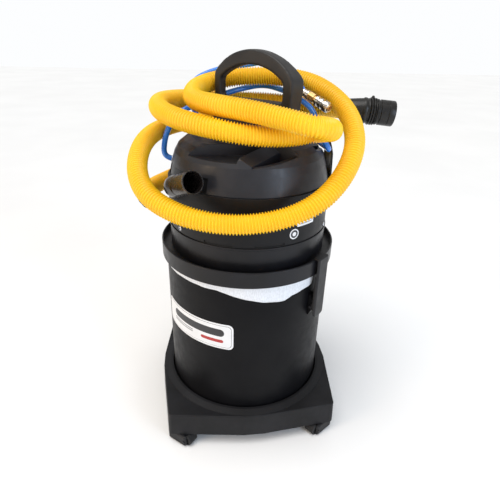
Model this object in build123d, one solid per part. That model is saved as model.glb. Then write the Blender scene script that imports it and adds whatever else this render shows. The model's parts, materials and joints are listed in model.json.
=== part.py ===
from build123d import *
import math
import os

# Air-driven shop vacuum. Millimetres, +Z up, origin on the floor under the middle of the drum.
# The machine's front, the plane of its carry handle, points at FRONT degrees about Z.

FRONT = -45.0
GAP = 0.3  # free space kept between pieces that only pass each other
RUN = 0.05  # radial clearance of a shaft that turns in a hole

# Trolley
SIDE = 220.0  # middle of each side from the drum's axis
CORNER = 282.0  # tip of each corner before it is rounded
CORNER_FILLET = 12.0
DRAFT = 2.0  # how far the skirt leans in at its top
TROLLEY_TOP = 90.0
SKIRT_BOTTOM = 32.0
RECESS_R = 194.0
RECESS_FLOOR = 62.0
RIM_BAND_R = 215.0
RIM_BAND_TOP = 95.0
TROLLEY_WALL = 4.0

# Castors
CASTOR_R = 251.0
CASTORS = {  # corner angle, and the way each castor faces at rest
    "front_left": (-135, 140),
    "front_right": (-45, 35),
    "rear_right": (45, 40),
    "rear_left": (135, 205),
}
WHEEL_R = 15.0
WHEEL_WIDTH = 26.0
TRAIL = 32.0
STEM_R = 5.0
AXLE_R = 3.0
CASTOR_TOP = 31.0
BOSS_BOTTOM = 33.0
STEM_LENGTH = 38.0
HOOD_FRONT = 17.0
HOOD_HALF = 20.0

# Drum and collar
DRUM_R = 190.0
DRUM_TOP = 440.0
DRUM_WALL = 4.0
DRUM_EDGE = 20.0
COLLAR_R = 200.0
COLLAR_BOTTOM = 426.5
COLLAR_TOP = 462.0
COLLAR_WALL = 3.5
NECK_R = 178.0
NECK_TOP = 505.0
GUTTER = 448.0

# Head
HEAD_BOTTOM = 507.0
LEDGE = 608.0
HEAD_TOP = 690.0
SHELL = 4.0
COVER_PROFILE = [(174.4, 608), (171.4, 622), (166, 644), (160.8, 660), (152.7, 674), (139.8, 684)]
PLATEAU_R = 124.0
INNER_PROFILE = [(137, 680), (149.5, 670.5), (157, 657.5), (162, 642), (167.3, 621), (170.4, 608)]
BOSS_TOP = 637.0
BOSS_INSET = 2.5
SHELF = 668.0  # the flat shelf at each side, and how far out its back wall stands
SHELF_WALL = 85.0
RAMP_BACK = 77.0  # the sloping arm between a shelf and the front pocket
RAMP_TOP = 693.0
RAMP_FALL = 0.58
RAMP_SIDE_FALL = 0.12
POCKET_BACK = 102.0
POCKET_FLOOR = 654.0
POCKET_RIM = 681.0  # rim height at the front, falling to both sides
POCKET_RIM_FALL = 0.17
PIER_HALF = 33.0  # half the width left whole under the handle

# Handle: distances along the machine's length, towards the front
REAR_END = -96.0
FRONT_END = 114.0
SADDLE_TOP = 764.5
SHOULDER = 808.0  # where the upright legs run into the arch
HANDLE_TOP = 857.5
GAP_REAR = -75.0
GAP_FRONT = 90.0
GAP_SHOULDER = 800.0
GAP_TOP = 829.5
HANDLE_SCREWS = (-70.0, 94.0)

# Ports
INLET_ANGLE = 80.0
INLET_Z = 320.0
CUFF_R = 26.5
INLET_BORE = 26.8
INLET_REACH = 27.0
EXHAUST_ANGLE = -148.5
EXHAUST_MOUTH_ANGLE = EXHAUST_ANGLE + 90.0
EXHAUST_MOUTH_TILT = 21.0  # how far the mouth is turned up
EXHAUST_Z = 609.0
EXHAUST_CORNER_R = 195.0
EXHAUST_INNER_R = 140.0
EXHAUST_RUN = 92.0
EXHAUST_OUT_R = 22.0
EXHAUST_BORE = 20.0

# Latches
LATCH_ANGLES = {"front": FRONT, "rear": FRONT + 180.0}
PIVOT_R = 198.0
PIVOT_Z = 345.0
PIN_R = 3.0
LATCH_WIDTH = 40.0
LATCH_INNER = 205.0
LATCH_OUTER = 210.0
LATCH_LOW = 333.0

# Hoses
SUCTION_D = 40.0
AIR_D = 12.0
SUCTION_ROUTE = [
    (209, 9, 742), (166, 50, 742), (117, 87, 741), (59, 116, 744), (-9, 138, 744), (-83, 129, 747),
    (-147, 98, 751), (-190, 41, 752), (-187, -30, 746), (-148, -87, 737), (-90, -120, 728),
    (-24, -134, 717), (31, -129, 713), (74, -123, 714), (105, -119, 719), (127, -136, 725),
    (131, -165, 732), (116, -188, 739), (86, -194, 744), (43, -166, 751), (-16, -132, 760),
    (-72, -100, 764), (-113, -49, 765), (-121, 14, 770), (-106, 75, 781), (-46, 105, 795),
    (30, 100, 801), (98, 75, 801), (154, 20, 788), (195, -48, 750), (197, -116, 702),
    (164, -171, 655), (113, -205, 612), (50, -215, 584), (-25, -213, 571), (-100, -203, 574),
    (-164, -180, 588), (-214, -141, 610), (-234, -83, 643), (-227, -8, 675), (-198, 69, 690),
    (-134, 142, 694), (-48, 192, 696), (43, 193, 698), (111, 168, 702), (149, 132, 699),
    (166, 115, 677), (165, 116, 645), (149, 133, 623), (111, 174, 612), (55, 207, 606),
    (-19, 218, 597), (-110, 179, 579), (-178, 114, 564), (-218, 72, 557), (-232, 23, 556),
    (-222, -25, 566),
]
AIR_ROUTE = [
    (-168, 20, 635), (-179, 22, 638), (-185, 22, 648), (-184, 23, 663), (-178, 26, 688),
    (-160, 35, 722), (-130, 54, 738), (-89, 84, 748), (-49, 106, 761), (-4, 126, 771), (46, 127, 780),
    (87, 102, 771), (116, 59, 759), (136, 14, 743), (141, -12, 721), (146, -32, 703), (152, -46, 688),
    (160, -48, 675), (168, -34, 666), (171, -10, 664), (170, 18, 664), (163, 57, 667),
    (130, 114, 669), (74, 152, 673), (5, 165, 675), (-58, 148, 682), (-102, 113, 697),
    (-118, 79, 728), (-125, 77, 765), (-115, 106, 792), (-61, 121, 812), (-12, 134, 818),
    (29, 124, 826), (60, 94, 835), (82, 60, 827), (100, 30, 804), (112, 4, 778),
]
CUFF_BEND = [(209, 9, 742), (225, 1, 743), (248, -6, 743)]
CUFF_END = (306, -16, 738)
COUPLER_END = (156, -49, 752)
TOOL_CUFF_LENGTH = 62.0

LOW = (Align.CENTER, Align.CENTER, Align.MIN)
nodes = {}


def turned(angle, shape):
    """The shape, built facing +X, turned to face an angle about Z."""
    return Rot(0, 0, angle) * shape


def polar(radius, angle, z):
    a = math.radians(angle)
    return Vector(radius * math.cos(a), radius * math.sin(a), z)


def disc(radius, low, high):
    return Pos(0, 0, low) * Cylinder(radius, high - low, align=LOW)


def ring(outer, inner, low, high):
    return disc(outer, low, high) - disc(inner, low - 1, high + 1)


def rod(start, end, radius):
    """A round bar from one point to another."""
    start, end = Vector(start), Vector(end)
    return Plane(origin=start, z_dir=end - start) * Cylinder(radius, (end - start).length, align=LOW)


def pipe(start, end, outer, inner):
    return rod(start, end, outer) - rod(start, end, inner)


def block(x0, x1, y0, y1, z0, z1):
    size = (x1 - x0, y1 - y0, z1 - z0)
    return Pos((x0 + x1) / 2, (y0 + y1) / 2, (z0 + z1) / 2) * Box(*size)


def turned_profile(points):
    """A solid of revolution about Z from (radius, height) corners."""
    wire = Polyline(*[(r, 0, z) for r, z in points], close=True)
    return revolve(make_face(wire), Axis.Z)


def sector(first, last, radius, low, high):
    """A pie slice about Z between two angles, less than half a turn apart."""
    middle, half = (first + last) / 2, (last - first) / 2
    reach = radius / math.cos(math.radians(half))
    corners = [polar(reach, angle, 0) for angle in (middle - half, middle, middle + half)]
    flat = make_face(Polyline(Vector(0, 0, 0), *corners, close=True))
    return extrude(Pos(0, 0, low) * flat, high - low)


def route_radii(points):
    """The largest arc for each corner of a route."""
    points = [Vector(p) for p in points]
    radii = []
    for a, b, c in zip(points, points[1:], points[2:]):
        turn = math.radians((b - a).get_angle(c - b))
        radii.append(0.45 * min((b - a).length, (c - b).length) / math.tan(turn / 2))
    return radii


def hose(name, points, diameter):
    """A plain tube along straight runs joined by tangent arcs."""
    radii = route_radii(points)
    path = FilletPolyline(*points, radius=radii)
    start = Plane(origin=path @ 0, z_dir=path % 0)
    tube = sweep(start * Circle(diameter / 2), path=path)
    share = tube.volume / (math.pi * diameter**2 / 4 * path.length)
    print(name, "length", round(path.length), "volume share", round(share, 4))
    print(name, "radii", [round(r) for r in radii])
    return tube


# ---------------------------------------------------------------- trolley and castors


def trolley_outline(inset):
    """Four bowed sides between rounded corners, moved in by an inset."""
    side, corner = SIDE - inset, CORNER - inset * math.sqrt(2)
    bow = math.acos(side / corner)
    flat_half = math.radians(45) - bow
    points = []
    for quarter in range(4):
        for angle in (-flat_half, flat_half):
            a = angle + math.radians(90 * quarter)
            reach = side / math.cos(flat_half)
            points.append((reach * math.cos(a), reach * math.sin(a)))
        a = math.radians(90 * quarter + 45)
        points.append((corner * math.cos(a), corner * math.sin(a)))
    face = make_face(Polyline(*points, close=True))
    tips = [v for v in face.vertices() if v.center().length > side + 20]
    return fillet(tips, max(CORNER_FILLET - inset, 4))


def castor_spots():
    """Each castor's name, its place under a corner and its heading."""
    for name, (angle, heading) in CASTORS.items():
        yield name, polar(CASTOR_R, angle, 0), heading


def make_trolley():
    skirt = loft([Pos(0, 0, SKIRT_BOTTOM) * trolley_outline(0),
                  Pos(0, 0, TROLLEY_TOP) * trolley_outline(DRAFT)])
    skirt = fillet(skirt.faces().sort_by(Axis.Z)[-1].edges(), 2.5)
    band = turned_profile([(0, TROLLEY_TOP - 1), (RIM_BAND_R, TROLLEY_TOP - 1), (RIM_BAND_R, TROLLEY_TOP + 1),
                           (RECESS_R + 6, RIM_BAND_TOP), (0, RIM_BAND_TOP)])
    body = skirt + band
    under = Pos(0, 0, SKIRT_BOTTOM - 1) * trolley_outline(TROLLEY_WALL + 4)
    under = extrude(under, TROLLEY_TOP - 3 - SKIRT_BOTTOM)
    under -= disc(RECESS_R + TROLLEY_WALL, RECESS_FLOOR - TROLLEY_WALL, TROLLEY_TOP)
    body -= under
    body -= disc(RECESS_R, RECESS_FLOOR, RIM_BAND_TOP + 5)
    for _, spot, _ in castor_spots():
        body += Pos(spot.X, spot.Y, BOSS_BOTTOM) * Cylinder(13, TROLLEY_TOP - 3 - BOSS_BOTTOM, align=LOW)
        body -= Pos(spot.X, spot.Y, CASTOR_TOP) * Cylinder(STEM_R + RUN, STEM_LENGTH + 2, align=LOW)
    rib = block(RECESS_R + 2, SIDE - 6, -1.5, 1.5, 50, TROLLEY_TOP - 2)
    for step in range(12):
        body += turned(30 * step + 15, rib & disc(SIDE - 6, 0, 100))
    return body


def make_castor(name, spot, heading):
    """A hooded fork with its stem, the wheel that trails behind it and the axle."""
    across = Rot(90, 0, 0)
    hub = Pos(-TRAIL, 0, WHEEL_R)
    hood = block(-TRAIL - 5, HOOD_FRONT, -HOOD_HALF, HOOD_HALF, 5, CASTOR_TOP)
    hood = fillet(hood.edges().filter_by(Axis.Z), 5)
    hood = chamfer(hood.faces().sort_by(Axis.Z)[-1].edges(), 2)
    hood -= hub * across * Cylinder(WHEEL_R + 1, WHEEL_WIDTH + 2)
    hood -= block(-80, 6 - TRAIL, -WHEEL_WIDTH / 2 - 1, WHEEL_WIDTH / 2 + 1, 0, WHEEL_R)
    fork = hood + Pos(0, 0, CASTOR_TOP - 1) * Cylinder(10, BOSS_BOTTOM - 0.5 - CASTOR_TOP + 1, align=LOW)
    fork += Pos(0, 0, CASTOR_TOP - 1) * Cylinder(STEM_R, STEM_LENGTH, align=LOW)
    axle_line = ((-TRAIL, -HOOD_HALF - 1, WHEEL_R), (-TRAIL, HOOD_HALF + 1, WHEEL_R))
    fork -= rod(*axle_line, AXLE_R)
    axle = rod(*axle_line, AXLE_R)
    wheel = hub * across * Cylinder(WHEEL_R, WHEEL_WIDTH)
    wheel = chamfer(wheel.edges().filter_by(GeomType.CIRCLE), 1.5)
    for side in (-1, 1):
        dish = Pos(-TRAIL, side * WHEEL_WIDTH / 2, WHEEL_R) * across
        wheel -= dish * (Cylinder(WHEEL_R - 4, 4) - Cylinder(5.5, 6))
    wheel -= rod(*axle_line, AXLE_R + RUN)
    place = Pos(spot.X, spot.Y, 0) * Rot(0, 0, heading)
    nodes[f"castor_{name}_fork"] = place * fork
    nodes[f"castor_{name}_axle"] = place * axle
    nodes[f"castor_{name}_wheel"] = place * wheel


# ---------------------------------------------------------------- drum, collar and filter


def make_drum():
    outside = disc(DRUM_R, RECESS_FLOOR, DRUM_TOP)
    outside = fillet(outside.edges().sort_by(Axis.Z)[0], DRUM_EDGE)
    inside = disc(DRUM_R - DRUM_WALL, RECESS_FLOOR + DRUM_WALL, DRUM_TOP + 5)
    inside = fillet(inside.edges().sort_by(Axis.Z)[0], DRUM_EDGE - DRUM_WALL)
    hole = rod(polar(DRUM_R - 20, INLET_ANGLE, INLET_Z), polar(DRUM_R + 20, INLET_ANGLE, INLET_Z), 34)
    return outside - inside - hole


def make_inlet():
    """The socket that takes the hose cuff, its flange and the hood that turns the air down."""
    face = DRUM_R + 1.5
    out = DRUM_R + INLET_REACH
    line = (polar(DRUM_R - 8, INLET_ANGLE, INLET_Z), polar(out, INLET_ANGLE, INLET_Z))
    socket = rod(*line, 33)
    flange = turned(INLET_ANGLE, block(DRUM_R - 20, face + 6, -46, 46, INLET_Z - 46, INLET_Z + 46))
    flange = fillet(flange.edges().filter_by(lambda e: abs(e.length - 27.5) < 0.1), 10)
    flange -= disc(DRUM_R, INLET_Z - 60, INLET_Z + 60)
    socket += flange
    socket -= rod(polar(face, INLET_ANGLE, INLET_Z), polar(out + 1, INLET_ANGLE, INLET_Z), INLET_BORE)
    socket -= rod(polar(DRUM_R - 30, INLET_ANGLE, INLET_Z), polar(out, INLET_ANGLE, INLET_Z), 24)
    for y in (-35, 35):
        for z in (-35, 35):
            spot = turned(INLET_ANGLE, Pos(face - 10, y, INLET_Z + z) * Rot(0, 90, 0) * Cylinder(2.2, 60))
            socket -= spot
    nodes["suction_inlet"] = socket
    screws = Compound([
        turned(INLET_ANGLE, Pos(face + 6, y, INLET_Z + z) * Rot(0, 90, 0) * Cylinder(4.5, 3, align=LOW)
               + Pos(face + 6 - 5, y, INLET_Z + z) * Rot(0, 90, 0) * Cylinder(2.0, 5, align=LOW)).solid()
        for y in (-35, 35) for z in (-35, 35)
    ])
    nodes["inlet_screws"] = screws
    hood_out = rod(polar(DRUM_R - 42, INLET_ANGLE, INLET_Z), polar(DRUM_R - 9, INLET_ANGLE, INLET_Z), 37)
    hood_in = rod(polar(DRUM_R - 39, INLET_ANGLE, INLET_Z), polar(DRUM_R - 5, INLET_ANGLE, INLET_Z), 34)
    hood = hood_out - hood_in
    hood -= turned(INLET_ANGLE, block(DRUM_R - 39, DRUM_R - 16, -60, 60, INLET_Z - 60, INLET_Z - 8))
    nodes["inlet_deflector"] = hood


def make_collar():
    profile = [
        (NECK_R - SHELL, GUTTER - 4), (COLLAR_R - COLLAR_WALL, GUTTER - 4),
        (COLLAR_R - COLLAR_WALL, COLLAR_BOTTOM),
        (COLLAR_R, COLLAR_BOTTOM), (COLLAR_R, COLLAR_TOP - 1.5), (COLLAR_R - 1.2, COLLAR_TOP),
        (COLLAR_R - COLLAR_WALL, COLLAR_TOP), (COLLAR_R - COLLAR_WALL, GUTTER), (NECK_R, GUTTER),
        (NECK_R, NECK_TOP - 5), (NECK_R + 1.6, NECK_TOP - 4), (NECK_R + 1.6, NECK_TOP - 0.8),
        (NECK_R + 0.8, NECK_TOP), (NECK_R - SHELL, NECK_TOP),
    ]
    return turned_profile(profile)


def make_filter():
    """A cloth bag hung from a ring on the drum's edge, with its spare edge turned out over the drum."""
    edge, skin = DRUM_TOP + GAP, 1.5
    bag = turned_profile([
        (165, edge + skin), (165, edge), (112, 262), (0, 262), (0, 262 - skin), (113.5, 262 - skin),
        (167, edge), (DRUM_R + 0.6, edge), (DRUM_R + 0.6, edge + skin),
    ])
    hanging = sector(-160, -49, 260, 390, 450)
    bag += ring(DRUM_R + 0.6 + skin, DRUM_R + 0.6, 398, edge + skin) & hanging
    bag += ring(DRUM_R + 0.6 + skin, DRUM_R - 2, edge, edge + skin) & hanging
    nodes["filter_bag"] = bag
    nodes["filter_ring"] = ring(162.2, 157.5, edge - 8, edge + 3)
    nodes["collar_seal"] = ring(189, 176, edge + skin + 0.2, GUTTER - 4)


def make_latch(name, angle):
    """A big hook that swings on a pin in a bracket on the drum."""
    half = LATCH_WIDTH / 2
    ear = half - 4.5
    body = block(LATCH_INNER, LATCH_OUTER, -half, half, LATCH_LOW, COLLAR_TOP + 3)
    toe = Polyline((LATCH_INNER, LATCH_LOW), (LATCH_OUTER, LATCH_LOW), (LATCH_OUTER, LATCH_LOW - 13),
                   (LATCH_OUTER - 2, LATCH_LOW - 18), (LATCH_OUTER - 3.5, LATCH_LOW - 18), close=True)
    body += extrude(Pos(0, half, 0) * Rot(90, 0, 0) * make_face(toe), LATCH_WIDTH)
    body += block(COLLAR_R - 5, LATCH_OUTER, -half, half, COLLAR_TOP + 0.5, COLLAR_TOP + 3)
    for side in (-1, 1):
        low, high = sorted((side * ear, side * half))
        body += Pos(PIVOT_R, (low + high) / 2, PIVOT_Z) * Rot(90, 0, 0) * Cylinder(7, high - low)
        body += block(PIVOT_R, LATCH_INNER + 1, low, high, PIVOT_Z - 7, PIVOT_Z + 7)
        body += block(COLLAR_R + 1.5, LATCH_INNER + 1, low, high, PIVOT_Z, COLLAR_TOP - 40)
    for side in (-1, 1):
        body -= Pos(LATCH_OUTER, side * half, 390) * Rot(0, 0, 45) * Box(4, 4, 200)
        body -= Pos(LATCH_OUTER - 3, side * half, LATCH_LOW - 18) * Rot(45, 0, 0) * Box(20, 14, 14)
    line = ((PIVOT_R, -half - 1.5, PIVOT_Z), (PIVOT_R, half + 1.5, PIVOT_Z))
    body -= rod(*line, PIN_R + RUN)
    wedge = Polyline((186, 318), (186, 372), (192, 372), (203, 352), (202.5, 343), (192, 320), close=True)
    bracket = extrude(Pos(0, ear - 0.5, 0) * Rot(90, 0, 0) * make_face(wedge), 2 * ear - 1)
    bracket -= disc(DRUM_R, 300, 400)
    bracket -= rod(*line, PIN_R)
    nodes[f"latch_{name}"] = turned(angle, body)
    nodes[f"latch_{name}_bracket"] = turned(angle, bracket)
    nodes[f"latch_{name}_pin"] = turned(angle, rod(*line, PIN_R))


def make_stickers():
    def patch(first, last, low, high, radius):
        return ring(radius + 0.5, radius, low, high) & sector(first, last, radius + 60, low, high)

    nodes["drum_label"] = patch(-166.8, -104.3, 260, 326, DRUM_R)
    nodes["rating_plate"] = patch(-63, -48, 542, 566, NECK_R)
    disc_cut = rod(polar(150, -65, 528), polar(200, -65, 528), 11)
    nodes["round_badge"] = patch(-72, -58, 516, 540, NECK_R) & disc_cut


# ---------------------------------------------------------------- head


def boss_zone(grow):
    """Where the lower shell rises round the exhaust elbow."""
    return sector(-182 - grow, -124.5 + grow, 230, LEDGE - 30, BOSS_TOP + grow * 0.5)


def make_head_shells():
    wall = ring(NECK_R, NECK_R - SHELL, HEAD_BOTTOM, LEDGE)
    floor = ring(NECK_R - SHELL + 1, 45, HEAD_BOTTOM, HEAD_BOTTOM + SHELL)
    spigot = ring(NECK_R - SHELL - GAP - 0.2, NECK_R - 2 * SHELL, HEAD_BOTTOM - 10, HEAD_BOTTOM + 1)
    ledge = ring(NECK_R, 167, LEDGE - 3, LEDGE)
    inner = [(0, HEAD_TOP - SHELL), (PLATEAU_R - 1, HEAD_TOP - SHELL), *INNER_PROFILE]
    outer = [*COVER_PROFILE, (PLATEAU_R, HEAD_TOP), (0, HEAD_TOP)]
    dome = turned_profile([(max(r - BOSS_INSET, 0), z) for r, z in outer + inner])
    lower = wall + floor + spigot + ledge + (dome & boss_zone(0))
    for middle in (-116, -82):
        slot = ring(NECK_R + 1, NECK_R - 2, HEAD_BOTTOM - 1, HEAD_BOTTOM + 5.5)
        lower -= slot & sector(middle - 10, middle + 10, NECK_R + 60, HEAD_BOTTOM - 2, HEAD_BOTTOM + 7)
    clearance = exhaust_tube(EXHAUST_OUT_R + 0.8)
    nodes["head_lower_shell"] = lower - clearance
    solid = turned_profile([*outer, (0, LEDGE + GAP)]) - cover_cuts(0)
    hollow = turned_profile([*inner, (0, LEDGE - 1)]) - cover_cuts(SHELL)
    cover = solid - hollow - boss_zone(0.4) - disc(200, 600, LEDGE + GAP) - clearance
    cover -= rod(*fitting_line(-30, 10), 9.5)
    for x in HANDLE_SCREWS:
        for y in (-13, 13):
            cover -= turned(FRONT, Pos(x, y, HEAD_TOP - 20) * Cylinder(2.6, 40))
    nodes["upper_cover"] = cover
    nodes["head_seal"] = ring(NECK_R - 1, NECK_R - SHELL, NECK_TOP + GAP, HEAD_BOTTOM)


def above(x, height, fall, side_fall):
    """Everything over a plane that falls towards the front and to one side, in the handle's frame."""
    return Plane(origin=(x, 0, height), z_dir=(fall, side_fall, 1)) * Box(600, 600, 90, align=LOW)


def cover_cuts(grow):
    """What the dome loses on each side: a shelf, a sloping arm and half of the front pocket."""
    high, wide = HEAD_TOP + 20, 220
    cuts = []
    for side in (-1, 1):
        near, far = sorted((side * (PIER_HALF - grow), side * wide))
        shelf = turned(45 * side, block(SHELF_WALL - grow, wide, -wide, wide, SHELF - grow, high))
        cuts.append(shelf & block(-wide, RAMP_BACK + grow, -wide, wide, SHELF - grow, high))
        ramp = above(RAMP_BACK, RAMP_TOP - grow, RAMP_FALL, side * RAMP_SIDE_FALL)
        cuts.append(ramp & block(RAMP_BACK - 20, POCKET_BACK + 1, near, far, 600, high))
        pocket = turned_profile([(0, POCKET_FLOOR - grow), (157 + grow, POCKET_FLOOR - grow),
                                 (132.4 + grow, HEAD_TOP), (132.4 + grow, high), (0, high)])
        cuts.append(pocket & block(POCKET_BACK - grow, wide, near, far, 600, high))
        rim = above(POCKET_BACK, POCKET_RIM - grow, 0, side * POCKET_RIM_FALL)
        cuts.append(rim & block(POCKET_BACK - grow, wide, near, far, 600, high))
    return turned(FRONT, sum(cuts[1:], cuts[0]))


def arch_face(rear, front, bottom, shoulder, top):
    """Two upright sides under one round arc, in the plane of the machine's length."""
    crown = ThreePointArc((front, shoulder), ((rear + front) / 2, top), (rear, shoulder))
    sides = Polyline((rear, shoulder), (rear, bottom), (front, bottom), (front, shoulder))
    return make_face([*crown.edges(), *sides.edges()])


def near_height(face, height):
    """The corners of a face at about a height."""
    return [v for v in face.vertices() if abs(v.Y - height) < 1]


def make_handle():
    """The arched grip on its saddle, drawn in the plane of the machine's length."""
    face = arch_face(REAR_END, FRONT_END, HEAD_TOP, SHOULDER, HANDLE_TOP)
    face = fillet(near_height(face, SHOULDER), 14)
    gap = arch_face(GAP_REAR, GAP_FRONT, SADDLE_TOP, GAP_SHOULDER, GAP_TOP)
    gap = fillet(near_height(gap, GAP_SHOULDER), 10)
    gap = fillet(near_height(gap, SADDLE_TOP), 6)
    slab = extrude(Rot(90, 0, 0) * (face - gap), 22, both=True)
    half_widths = [(REAR_END - 1, 4.5), (REAR_END + 5, 9.5), (-50, 13), (60, 16), (GAP_FRONT, 19),
                   (FRONT_END + 1, 22)]
    near = [(x, -y) for x, y in half_widths]
    plan = make_face(Polyline(*near, *reversed(half_widths), close=True))
    handle = slab & extrude(Pos(0, 0, HEAD_TOP - 1) * plan, 200)
    middle, length = (REAR_END + FRONT_END) / 2, FRONT_END - REAR_END - 4
    flare = loft([
        Pos(middle, 0, HEAD_TOP) * RectangleRounded(length, 66, 20),
        Pos(middle, 0, SADDLE_TOP - 14) * RectangleRounded(length - 2, 30, 12),
    ])
    handle += flare
    lean = Polyline((FRONT_END + 5, 790), (FRONT_END, 790), (FRONT_END - 8, HEAD_TOP - 5),
                    (FRONT_END + 5, HEAD_TOP - 5), close=True)
    handle -= extrude(Rot(90, 0, 0) * make_face(lean), 40, both=True)
    handle -= block(-200, 200, -60, 60, HEAD_TOP - 30, HEAD_TOP)
    for x in HANDLE_SCREWS:
        for y in (-13, 13):
            handle -= Pos(x, y, HEAD_TOP) * Cylinder(2.2, 36)
    nodes["carry_handle"] = turned(FRONT, handle)
    screws = Compound([
        turned(FRONT, Pos(x, y, HEAD_TOP - SHELL - 3) * Cylinder(5, 3, align=LOW)
               + Pos(x, y, HEAD_TOP - SHELL - 1) * Cylinder(2.0, 18, align=LOW)).solid()
        for x in HANDLE_SCREWS for y in (-13, 13)
    ])
    nodes["handle_screws"] = screws


def exhaust_tube(radius):
    """A solid bar along the exhaust elbow's middle line."""
    corner = polar(EXHAUST_CORNER_R, EXHAUST_ANGLE, EXHAUST_Z)
    tilt = math.radians(EXHAUST_MOUTH_TILT)
    mouth = corner + polar(EXHAUST_RUN * math.cos(tilt), EXHAUST_MOUTH_ANGLE, EXHAUST_RUN * math.sin(tilt))
    path = FilletPolyline(polar(EXHAUST_INNER_R, EXHAUST_ANGLE, EXHAUST_Z), corner, mouth, radius=24)
    return sweep(Plane(origin=path @ 0, z_dir=path % 0) * Circle(radius), path=path)


def make_exhaust():
    nodes["exhaust_elbow"] = exhaust_tube(EXHAUST_OUT_R) - exhaust_tube(EXHAUST_BORE)
    seat = (polar(EXHAUST_INNER_R + 4, EXHAUST_ANGLE, EXHAUST_Z), polar(153, EXHAUST_ANGLE, EXHAUST_Z))
    nodes["exhaust_seal"] = pipe(*seat, EXHAUST_OUT_R + 4, EXHAUST_OUT_R + 0.05)


def make_ejector():
    """The air pump inside the head: a nozzle blows through a mixing tube into the exhaust."""
    inner_end = polar(EXHAUST_INNER_R - GAP, EXHAUST_ANGLE, EXHAUST_Z)
    back = polar(-70, EXHAUST_ANGLE, EXHAUST_Z)
    throat = polar(20, EXHAUST_ANGLE, EXHAUST_Z)
    body = rod(back, inner_end, 24) - rod(throat, inner_end, 18)
    body -= rod(polar(-66, EXHAUST_ANGLE, EXHAUST_Z), throat, 20)
    down = rod((0, 0, HEAD_BOTTOM + SHELL + GAP), (0, 0, EXHAUST_Z - 4), 20)
    body += rod((0, 0, HEAD_BOTTOM + SHELL + GAP), (0, 0, EXHAUST_Z - 10), 24)
    body += disc(56, HEAD_BOTTOM + SHELL + GAP, HEAD_BOTTOM + SHELL + 4) - disc(24, 500, 540)
    body -= down
    body -= rod(polar(-75, EXHAUST_ANGLE, EXHAUST_Z), polar(-60, EXHAUST_ANGLE, EXHAUST_Z), 8)
    nodes["ejector_body"] = body
    nose = polar(-14, EXHAUST_ANGLE, EXHAUST_Z)
    nozzle = rod(polar(-86, EXHAUST_ANGLE, EXHAUST_Z), nose, 7.5)
    nozzle -= rod(polar(-87, EXHAUST_ANGLE, EXHAUST_Z), polar(-13, EXHAUST_ANGLE, EXHAUST_Z), 3)
    nodes["ejector_nozzle"] = nozzle
    centre = polar(-98, EXHAUST_ANGLE, EXHAUST_Z)
    manifold = Pos(centre.X, centre.Y, EXHAUST_Z) * Rot(0, 0, EXHAUST_ANGLE) * Box(24, 36, 30)
    nodes["air_manifold"] = manifold
    ends = [polar(radius, EXHAUST_ANGLE, EXHAUST_Z) for radius in (100, 139)]
    nodes["silencer_sleeve"] = pipe(*ends, 17.6, 13)


def fitting_line(back, forward):
    """Two points on the air fitting's axis, measured from its mouth along the hose."""
    start, ahead = Vector(AIR_ROUTE[0]), Vector(AIR_ROUTE[1])
    along = (ahead - start).normalized()
    return start + along * back, start + along * forward


def make_air_fitting():
    body = rod(*fitting_line(-26, -3.5), 7.6) + rod(*fitting_line(-9, -6), 9.2)
    nodes["air_fitting"] = body
    nodes["fitting_collet"] = rod(*fitting_line(-3.5, 0), 6.8)


def make_hook():
    """A pointed tongue outside the head that keeps the air hose in place."""
    plate = ring(NECK_R + 4, NECK_R + 0.1, 556, 682) & sector(-17, 13, 260, 550, 690)
    edge_on = [(-52, 556), (-48, 600), (-30, 655), (14, 682), (24, 676), (40, 556)]
    cut = extrude(Plane.YZ * make_face(Polyline(*edge_on, close=True)), 260)
    hook = plate & cut
    screws = []
    for angle in (-8, 6):
        spot = (polar(176, angle, 575), polar(186, angle, 575))
        hook -= rod(*spot, 2.2)
        head = rod(polar(NECK_R + 4, angle, 575), polar(NECK_R + 6.5, angle, 575), 4.5)
        shank = rod(polar(NECK_R + 0.3, angle, 575), polar(NECK_R + 5, angle, 575), 2.0)
        screws.append((head + shank).solid())
    nodes["hose_hook"] = hook
    nodes["hook_screws"] = Compound(screws)


def make_cover_screws():
    screws = []
    for angle in (-148.8, -28.8, 91.2):
        screws.append(rod(polar(NECK_R + 0.3, angle, 516), polar(NECK_R + 2.6, angle, 516), 5))
    nodes["head_screws"] = Compound([s.solid() for s in screws])


def make_float():
    """A cage under the head whose ball rises and shuts the suction hole when the drum is full."""
    top = HEAD_BOTTOM - GAP
    cage = ring(52, 40, top - 4, top)
    cage += ring(41, 26, top - 6, top - 1)
    for step in range(6):
        cage += turned(60 * step, block(37, 40, -4, 4, top - 90, top - 4))
    cage += disc(40, top - 93, top - 90)
    nodes["float_cage"] = cage
    nodes["float_ball"] = Pos(0, 0, top - 90 + 33) * Sphere(33 - 0.4)


# ---------------------------------------------------------------- hose ends


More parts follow.
